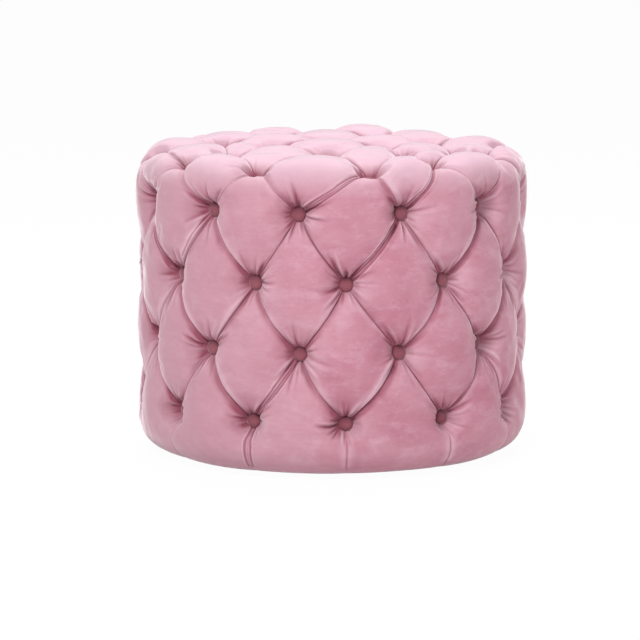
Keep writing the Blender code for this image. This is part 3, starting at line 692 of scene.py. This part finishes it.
class Socket:
    """A shader value that takes part in Python sums."""

    def __init__(self, tree, socket):
        self.tree, self.socket = tree, socket

    def math(self, operation, *others):
        node = self.tree.nodes.new("ShaderNodeMath")
        node.operation = operation
        for slot, value in zip(node.inputs, (self, *others)):
            connect(self.tree, slot, value)
        return Socket(self.tree, node.outputs[0])

    def __add__(self, other):
        return self.math("ADD", other)

    __radd__ = __add__

    def __mul__(self, other):
        return self.math("MULTIPLY", other)

    __rmul__ = __mul__

    def __sub__(self, other):
        return self.math("SUBTRACT", other)

    def __rsub__(self, other):
        return self * -1 + other

    def clamp(self, low, high):
        return self.math("MAXIMUM", low).math("MINIMUM", high)


def connect(tree, slot, value):
    if isinstance(value, Socket):
        tree.links.new(value.socket, slot)
    else:
        slot.default_value = value


class Nodes:
    """A node tree whose nodes are added by kind, settings and inputs, each input by name or number."""

    def __init__(self, tree, end):
        self.tree = tree
        self.end = tree.nodes[end]

    def node(self, kind, output, settings=(), numbered=(), **inputs):
        node = self.tree.nodes.new(f"ShaderNode{kind}")
        for name, value in dict(settings).items():
            setattr(node, name, value)
        for number, value in dict(numbered).items():
            connect(self.tree, node.inputs[number], value)
        for name, value in inputs.items():
            connect(self.tree, node.inputs[name.replace("_", " ")], value)
        return Socket(self.tree, node.outputs[output])

    def show(self, surface):
        connect(self.tree, self.end.inputs["Surface"], surface)


class Finish(Nodes):
    """A material with one main shader."""

    def __init__(self, name, roughness, **fixed):
        self.material = bpy.data.materials.new(name)
        self.material.use_nodes = True
        super().__init__(self.material.node_tree, "Material Output")
        self.shader = self.tree.nodes["Principled BSDF"]
        self.set(Roughness=roughness, **fixed)

    def set(self, **inputs):
        for name, value in inputs.items():
            connect(self.tree, self.shader.inputs[name.replace("_", " ")], value)

    def place(self):
        return self.node("TexCoord", "Object")

    def noise(self, scale, detail, roughness=0.55, distortion=0.0, stretch=None):
        place = self.place()
        if stretch:
            place = self.node("Mapping", "Vector", Vector=place, Scale=stretch)
        return self.node(
            "TexNoise", "Fac", Vector=place, Scale=scale, Detail=detail, Roughness=roughness,
            Distortion=distortion,
        )

    def blend(self, share, first, second):
        colours = [colour if isinstance(colour, Socket) else (*colour, 1.0) for colour in (first, second)]
        return self.node("Mix", 2, {"data_type": "RGBA"}, {6: colours[0], 7: colours[1]}, Factor=share)

    def part(self, vector, axis):
        return self.node("SeparateXYZ", axis, Vector=vector)

    def mark(self, name, output="Fac"):
        """A value or vector that the sheet carries at each of its points."""
        return self.node("Attribute", output, {"attribute_name": name})

    def bump(self, height, distance, strength=1.0):
        normal = self.node("Bump", "Normal", Height=height, Distance=distance, Strength=strength)
        self.set(Normal=normal)


def soft_step(value, low, high):
    """Zero up to the low end and one from the high end on, which may be the lesser number."""
    return ((value - low) * (1 / (high - low))).clamp(0.0, 1.0)


# Heights, places across and depths between which the velvet's painted light and shade set in
lit_low_heights = (0.15, 0.03)
lit_low_left_places = (0.02, -0.20)
left_shade_places = (-0.02, -0.30)
top_sheen_heights = (0.405, 0.448)
top_heights = (0.39, 0.43)
tuft_depths = (0.009, 0.025)
groove_depths = (0.0003, 0.0028)
lit_lip_depths = (-0.0002, -0.0024)


def velvet(name, light, deep, brushed_and_lit, painted_shade, left_painted_shade, top_painted_sheen, lean=0.0):
    """Short pile, paler where it is brushed one way and deeper where the other; painted shade in the folds
    and funnels, above and left of each button and on the sides; painted light below and right of each
    button, on fold lips, at the low left, and a painted sheen on top.
    """
    finish = Finish(name, 0.9, Sheen_Weight=0.9, Sheen_Roughness=0.32, Sheen_Tint=(1.0, 0.93, 0.96, 1.0))
    across, height = finish.part(finish.place(), "X"), finish.part(finish.place(), "Z")
    # Random brushed patches, made deeper towards the right side as painted shade.
    patches_and_right_shade = finish.noise(scale=5.0, detail=5.0, roughness=0.62, distortion=0.8) + across * 0.35
    strokes = finish.noise(scale=11.0, detail=6.0, roughness=0.7, distortion=0.5, stretch=(1.0, 1.0, 2.4))
    wear = finish.noise(scale=30.0, detail=6.0, roughness=0.72, distortion=0.15, stretch=(1.0, 1.0, 1.6))
    weave = finish.noise(scale=70.0, detail=4.0, roughness=0.7, distortion=0.2, stretch=(0.5, 0.5, 3.0))
    deepened = soft_step(patches_and_right_shade, 0.42, 0.68) * 0.62 + soft_step(strokes, 0.44, 0.70) * 0.38
    colour = finish.blend(deepened, light, deep)
    # Paler where the pile is worn and crushed; the same paler colour is painted light further on.
    colour = finish.blend(soft_step(wear, 0.50, 0.76) * 0.5, colour, brushed_and_lit)
    colour = finish.blend(soft_step(weave, 0.42, 0.72) * 0.16, colour, deep)
    # Painted light: the low left part made lighter.
    low = soft_step(height, *lit_low_heights) * soft_step(across, *lit_low_left_places)
    colour = finish.blend(low * 0.25, colour, brushed_and_lit)
    # Painted shade: the left side duller and greyer.
    colour = finish.blend(soft_step(across, *left_shade_places) * 0.55, colour, left_painted_shade)
    # Painted sheen: paler on the top and its rim, where grazing light catches the pile.
    colour = finish.blend(soft_step(height + strokes * 0.02, *top_sheen_heights) * 0.62, colour, top_painted_sheen)
    depth, crease = finish.mark("depth"), finish.mark("crease")
    # Painted highlight: paler on the lips that lap over the pleats and beside the gathers.
    colour = finish.blend(soft_step(crease, *lit_lip_depths) * 0.7, colour, brushed_and_lit)
    pull = finish.mark("pull", "Vector")
    near = finish.part(pull, "Z")
    # Painted shade on the slopes above and left of each button, painted light on those below and right of
    # it.
    slope = finish.part(pull, "Y") * 0.6 - finish.part(pull, "X") * 0.75
    inside = (near * 1.8 - 0.3).clamp(0.0, 1.0) * (1.0 - soft_step(height, *top_heights) * 0.5)
    painted_slope_shade, lit = inside * (slope + 0.2).clamp(0.0, 1.0), inside * (0.0 - slope).clamp(0.0, 1.0)
    colour = finish.blend(lit * 0.5, colour, brushed_and_lit)
    # Painted shade deep in the funnels round the buttons and in the grooves, less where painted light lies.
    folds = soft_step(depth, *tuft_depths) * 0.62 + soft_step(crease, *groove_depths) * 0.62
    # Painted shade on faces that look up, as on the buttons under the pillows above them.
    if lean:
        upward = finish.part(finish.node("NewGeometry", "Normal"), "Z")
        colour = finish.blend(soft_step(upward, -0.05, 0.40) * lean, colour, painted_shade)
    colour = finish.blend((folds * (1.0 - lit * 0.5) + painted_slope_shade * 0.5).clamp(0.0, 0.92), colour, painted_shade)
    finish.set(Base_Color=colour)
    bearing = finish.node("Mapping", "Vector", Vector=pull, Scale=(1.0, 1.0, 0.35))
    fan = finish.node(
        "TexNoise", "Fac", {"noise_dimensions": "4D"}, Vector=bearing, W=finish.mark("tuft"), Scale=5.5,
        Detail=2.0, Roughness=0.5,
    )
    pile = finish.noise(scale=900.0, detail=2.0, roughness=0.6, stretch=(0.35, 0.35, 1.6))
    crush = finish.noise(scale=55.0, detail=5.0, roughness=0.62)
    finish.bump(height=pile * 0.25 + crush * 0.8 + fan * near * 3.5, distance=0.001, strength=0.45)
    return finish.material


VELVET = velvet(
    "pink_velvet", light=(0.53, 0.262, 0.322), deep=(0.41, 0.140, 0.200), brushed_and_lit=(0.63, 0.40, 0.47),
    painted_shade=(0.25, 0.050, 0.085), left_painted_shade=(0.45, 0.255, 0.305), top_painted_sheen=(0.67, 0.49, 0.57),
)
# Buttons: their own deep pink, with painted shade on faces that look up (lean).
BUTTON_VELVET = velvet(
    "button_velvet", light=(0.27, 0.074, 0.100), deep=(0.17, 0.038, 0.058), brushed_and_lit=(0.36, 0.135, 0.165),
    painted_shade=(0.12, 0.022, 0.038), left_painted_shade=(0.25, 0.085, 0.11), top_painted_sheen=(0.40, 0.17, 0.21), lean=0.7,
)


def plain(name, first, second, scale, roughness, bump, **fixed):
    finish = Finish(name, roughness, **fixed)
    grain = finish.noise(scale, detail=4.0)
    finish.set(Base_Color=finish.blend(soft_step(grain, 0.35, 0.65), first, second))
    finish.bump(grain, bump)
    return finish.material


def wood(name, first, second, stretch):
    finish = Finish(name, 0.55)
    grain = finish.noise(scale=14.0, detail=6.0, roughness=0.6, distortion=1.2, stretch=stretch)
    finish.set(Base_Color=finish.blend(soft_step(grain, 0.3, 0.7), first, second))
    finish.bump(grain, distance=0.0003)
    return finish.material


NYLON = plain("glide_nylon", (0.030, 0.030, 0.032), (0.045, 0.045, 0.048), 300.0, 0.42, 0.00005)
LINING = plain("dust_lining", (0.012, 0.012, 0.013), (0.030, 0.030, 0.032), 700.0, 0.92, 0.0002)
FOAM = plain("foam", (0.80, 0.74, 0.55), (0.86, 0.82, 0.66), 400.0, 0.9, 0.0004)
STEEL = plain("zinc_steel", (0.55, 0.55, 0.54), (0.68, 0.68, 0.66), 250.0, 0.35, 0.00003, Metallic=1.0)
PLYWOOD = wood("birch_plywood", (0.62, 0.45, 0.28), (0.74, 0.59, 0.40), (1.0, 6.0, 6.0))
SOFTWOOD = wood("pine", (0.70, 0.50, 0.30), (0.82, 0.66, 0.45), (7.0, 7.0, 0.8))
HARDBOARD = plain("hardboard", (0.30, 0.19, 0.11), (0.40, 0.27, 0.17), 180.0, 0.7, 0.0002)

SLOTS = {
    "foam": FOAM, "plywood": PLYWOOD, "softwood": SOFTWOOD, "hardboard": HARDBOARD,
    "zinc_steel": STEEL, "nylon": NYLON, "dust_lining": LINING, "cover_velvet": VELVET,
    "button_velvet": BUTTON_VELVET,
}


def finish_packed_nodes():
    for row in frame["record"]["subparts"]:
        node = frame["nodes"].get(row["node"])
        if node:
            node.data.materials.clear()
            node.data.materials.append(SLOTS[row["material_slot"]])


# Velvet covers


def add_covers():
    half = tuft_count // 2
    front = [place % tuft_count for place in range(-half // 2, half // 2)]
    back = [place for place in range(tuft_count) if place not in front]
    pieces = (
        ("velvet_side_front", side_cells(front), [], ("side_cover_front", "side_foam")),
        ("velvet_side_back", side_cells(back), [], ("side_cover_back",)),
        ("velvet_top", [], top_cells(), ("top_cover", "top_foam")),
    )
    for name, side, top, nodes in pieces:
        mesh = Sheet(side, top, patch_steps).as_mesh(name)
        let_settle(mesh, Sheet(side, top, cloth_steps).as_mesh(f"{name}_cloth"))
        cover = add_piece(name, mesh, VELVET)
        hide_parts(*nodes)


# Covered buttons

button_radius = 0.0107
button_sides = 40
button_tip = math.radians(2.0)
button_outline = [
    (0.0, 0.0094), (0.0022, 0.0093), (0.0045, 0.0090), (0.0066, 0.0085), (0.0081, 0.0078),
    (0.0093, 0.0068), (0.0102, 0.0056), (button_radius, 0.0044), (0.0105, 0.0034),
    (0.0098, 0.0027), (0.0080, 0.0024), (0.0, 0.0022),
]


def turned(profile, sides, place):
    """Points and faces of a profile turned about its axis and set in place."""
    around = np.arange(sides) * 2 * math.pi / sides
    points, faces, rings = [], [], []
    for radius, height in profile:
        if radius == 0:
            rings.append([len(points)] * sides)
            points.append((0.0, 0.0, height))
            continue
        rings.append(list(range(len(points), len(points) + sides)))
        points += [(radius * math.cos(angle), radius * math.sin(angle), height) for angle in around]
    for upper, lower in zip(rings, rings[1:]):
        for side in range(sides):
            after = (side + 1) % sides
            face = dict.fromkeys([upper[side], lower[side], lower[after], upper[after]])
            faces.append(list(face))
    return [place @ Vector(point) for point in points], faces


def add_turned(name, stands, profile, sides, finish):
    points, faces = [], []
    for place in stands:
        more, rings = turned(profile, sides, place)
        faces += [[index + len(points) for index in face] for face in rings]
        points += more
    mesh = bpy.data.meshes.new(name)
    mesh.from_pydata(points, [], faces)
    mesh.shade_smooth()
    return add_piece(name, mesh, finish)


def tuft_seat(spot):
    """Where a button stands: its tuft's bottom, looking out, tipped a little."""
    turn, run = SPOTS[spot]
    radius, height, out, up = (float(value) for value in outline(np.float64(run)))
    aim = Vector((out * math.sin(turn), -out * math.cos(turn), up))
    seat = Vector((radius * math.sin(turn), -radius * math.cos(turn), height)) - spot_depth(spot) * aim
    tip = chance("tip", spot).normal(size=2) * button_tip
    stand = Matrix.Translation(seat) @ aim.to_track_quat("Z", "Y").to_matrix().to_4x4()
    return stand @ Matrix.Rotation(tip[0], 4, "X") @ Matrix.Rotation(tip[1], 4, "Y")


def add_buttons():
    groups = {}
    for row in range(1, row_count + 1):
        groups[f"button_row_{row}"] = [f"row{row}_{place}" for place in range(tuft_count)]
    groups["top_buttons_outer"] = [f"ring_{place}" for place in range(tuft_count)]
    groups["top_buttons_inner"] = list(top_place_shares)
    for node, spots in groups.items():
        seats = [tuft_seat(spot) for spot in spots]
        buttons = add_turned(f"covered_{node}", seats, button_outline, button_sides, BUTTON_VELVET)
        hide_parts(node)


# Underside

sheet_rings = 40
sheet_sides = 144
staple_count = 24
edge_slack = 0.0006
edge_slack_power = 6
middle_slack = 0.0005
middle_wave_count = 5
middle_wave_twist = 30
flat_edge_power = 12
glide_count = 6
glide_sides = 48


def add_dust_cover():
    """Non-woven sheet drawn over the base, a little slack between the places that hold it."""
    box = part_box("dust_cover")
    radius, level = box[1][0], box[0][2]
    thickness = box[1][2] - level
    rings = np.linspace(0, radius, sheet_rings)
    around = np.arange(sheet_sides) * 2 * math.pi / sheet_sides
    points, faces = [], []
    for ring in rings:
        slack = edge_slack * np.sin(around * staple_count) * (ring / radius) ** edge_slack_power
        slack = slack + middle_slack * np.sin(around * middle_wave_count + ring * middle_wave_twist)
        dip = thickness / 2 + slack * (1 - (ring / radius) ** flat_edge_power)
        points.append(np.stack([ring * np.cos(around), ring * np.sin(around), level + dip + 0 * around], -1))
    points = np.concatenate(points)
    for ring in range(sheet_rings - 1):
        for side in range(sheet_sides):
            after = (side + 1) % sheet_sides
            inner, outer = ring * sheet_sides, (ring + 1) * sheet_sides
            faces.append([inner + side, outer + side, outer + after, inner + after])
    mesh = bpy.data.meshes.new("dust_sheet")
    mesh.from_pydata([tuple(point) for point in points], [], faces)
    sheet = add_piece("dust_sheet", merged(mesh), LINING)
    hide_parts("dust_cover")


def add_glides():
    """Nail-on glides with a rounded nylon foot."""
    foot = [
        (0.0, 0.0044), (0.0118, 0.0044), (0.0123, 0.0042), (0.0125, 0.0036), (0.0122, 0.0024),
        (0.0112, 0.0012), (0.0092, 0.0003), (0.0060, 0.0), (0.0, 0.0),
    ]
    for place in range(glide_count):
        node = f"glide_{place + 1}"
        low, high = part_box(node)
        middle = Vector(((low[0] + high[0]) / 2, (low[1] + high[1]) / 2, low[2]))
        glide = add_turned(f"{node}_foot", [Matrix.Translation(middle)], foot, glide_sides, NYLON)
        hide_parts(node)


# Stage

floor_size = 40.0
floor_glow_share = 0.97
sky_strength = 0.40
white = (1.0, 1.0, 1.0, 1.0)
lamps = {
    "key": ((-0.9, -2.2, 2.5), 0.9, 70.0),
    "fill": ((2.4, -2.0, 1.2), 2.0, 20.0),
    "top": ((0.2, 1.3, 2.6), 2.4, 74.0),
}
lamp_target = (0.0, 0.0, 0.22)
camera_place = (-0.0173, -4.465, 0.899)
camera_pitch = 0.159
lens_length_mm = 174.6
sensor_width_mm = 36.0


def add_floor():
    """Pale floor that the camera sees as white, with the ottoman's shadow."""
    bpy.ops.mesh.primitive_plane_add(size=floor_size)
    floor = bpy.context.active_object
    floor.name = "floor"
    finish = Finish("floor_white", 0.9)
    finish.set(Base_Color=(0.9, 0.9, 0.9, 1.0))
    lit = Socket(finish.tree, finish.shader.outputs[0])
    glow = finish.node("Emission", "Emission", Color=white, Strength=1.0)
    seen = finish.node("LightPath", "Is Camera Ray")
    finish.show(finish.node("MixShader", "Shader", (), {1: lit, 2: glow}, Fac=seen * floor_glow_share))
    floor.data.materials.append(finish.material)


def add_sky():
    """Soft even light, white where the camera looks past the floor."""
    world = bpy.data.worlds.new("studio")
    bpy.context.scene.world = world
    world.use_nodes = True
    sky = Nodes(world.node_tree, "World Output")
    sky.tree.nodes.remove(sky.tree.nodes["Background"])
    light = sky.node("Background", "Background", Color=(0.97, 0.98, 1.0, 1.0), Strength=sky_strength)
    shown = sky.node("Background", "Background", Color=white)
    seen = sky.node("LightPath", "Is Camera Ray")
    sky.show(sky.node("MixShader", "Shader", (), {1: light, 2: shown}, Fac=seen))


def add_lamp(name, place, size, power):
    lamp = bpy.data.lights.new(name, "AREA")
    lamp.size = size
    lamp.energy = power
    light = bpy.data.objects.new(name, lamp)
    light.location = place
    light.rotation_euler = (Vector(lamp_target) - Vector(place)).to_track_quat("-Z", "Y").to_euler()
    bpy.context.scene.collection.objects.link(light)


def add_camera():
    lens = bpy.data.cameras.new("camera")
    lens.lens = lens_length_mm
    lens.sensor_width = sensor_width_mm
    camera = bpy.data.objects.new("camera", lens)
    camera.location = camera_place
    camera.rotation_euler = (math.pi / 2 - camera_pitch, 0.0, 0.0)
    bpy.context.scene.collection.objects.link(camera)
    bpy.context.scene.camera = camera


finish_packed_nodes()
add_covers()
add_buttons()
add_dust_cover()
add_glides()
add_floor()
add_sky()
for name, settings in lamps.items():
    add_lamp(name, *settings)
add_camera()
bpy.context.scene.view_settings.view_transform = "Standard"
